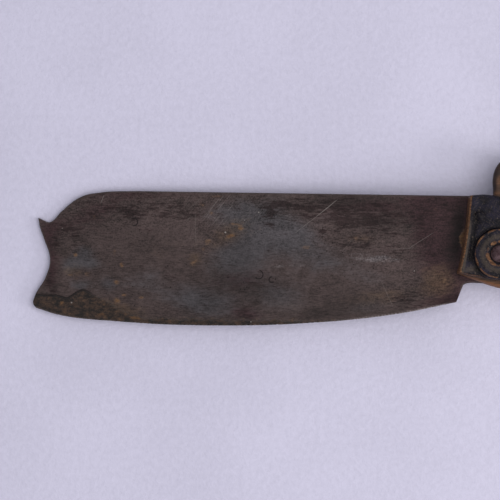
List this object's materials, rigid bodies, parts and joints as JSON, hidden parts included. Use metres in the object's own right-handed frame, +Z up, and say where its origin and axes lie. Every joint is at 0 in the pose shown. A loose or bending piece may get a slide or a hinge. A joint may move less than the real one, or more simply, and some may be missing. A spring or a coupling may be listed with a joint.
{
  "type": "broad-bladed knife",
  "caption": "Broad flat-bladed knife with a hooked, hollowed end and a layered handle of wood and horn, riveted through a full tang.",
  "frame": {"origin": "on the surface that the knife lies on, under the middle of its bounding box", "axes": "+X from the blade's tip towards the pommel, +Y from the cutting edge towards the spine, +Z up out of the knife's left side"},
  "size_m": [0.3324, 0.0788, 0.0339],
  "materials": {
    "steel": "old forged steel with a dark brown and grey patina",
    "wood": "worn brown hardwood",
    "horn": "black horn, worn brown along its edges",
    "iron": "peened iron with a purple-brown patina"
  },
  "bodies": {
    "root": {"blade": "steel", "wood_scale_left": "wood", "wood_scale_right": "wood", "horn_cheek_left": "horn", "horn_cheek_right": "horn", "boss_washer_left": "horn", "boss_washer_right": "horn", "boss_rivet": "iron", "grip_rivet_front": "iron", "grip_rivet_rear": "iron", "grip_washer_front_left": "iron", "grip_washer_front_right": "iron", "grip_washer_rear_left": "iron", "grip_washer_rear_right": "iron"}
  },
  "joints": []
}
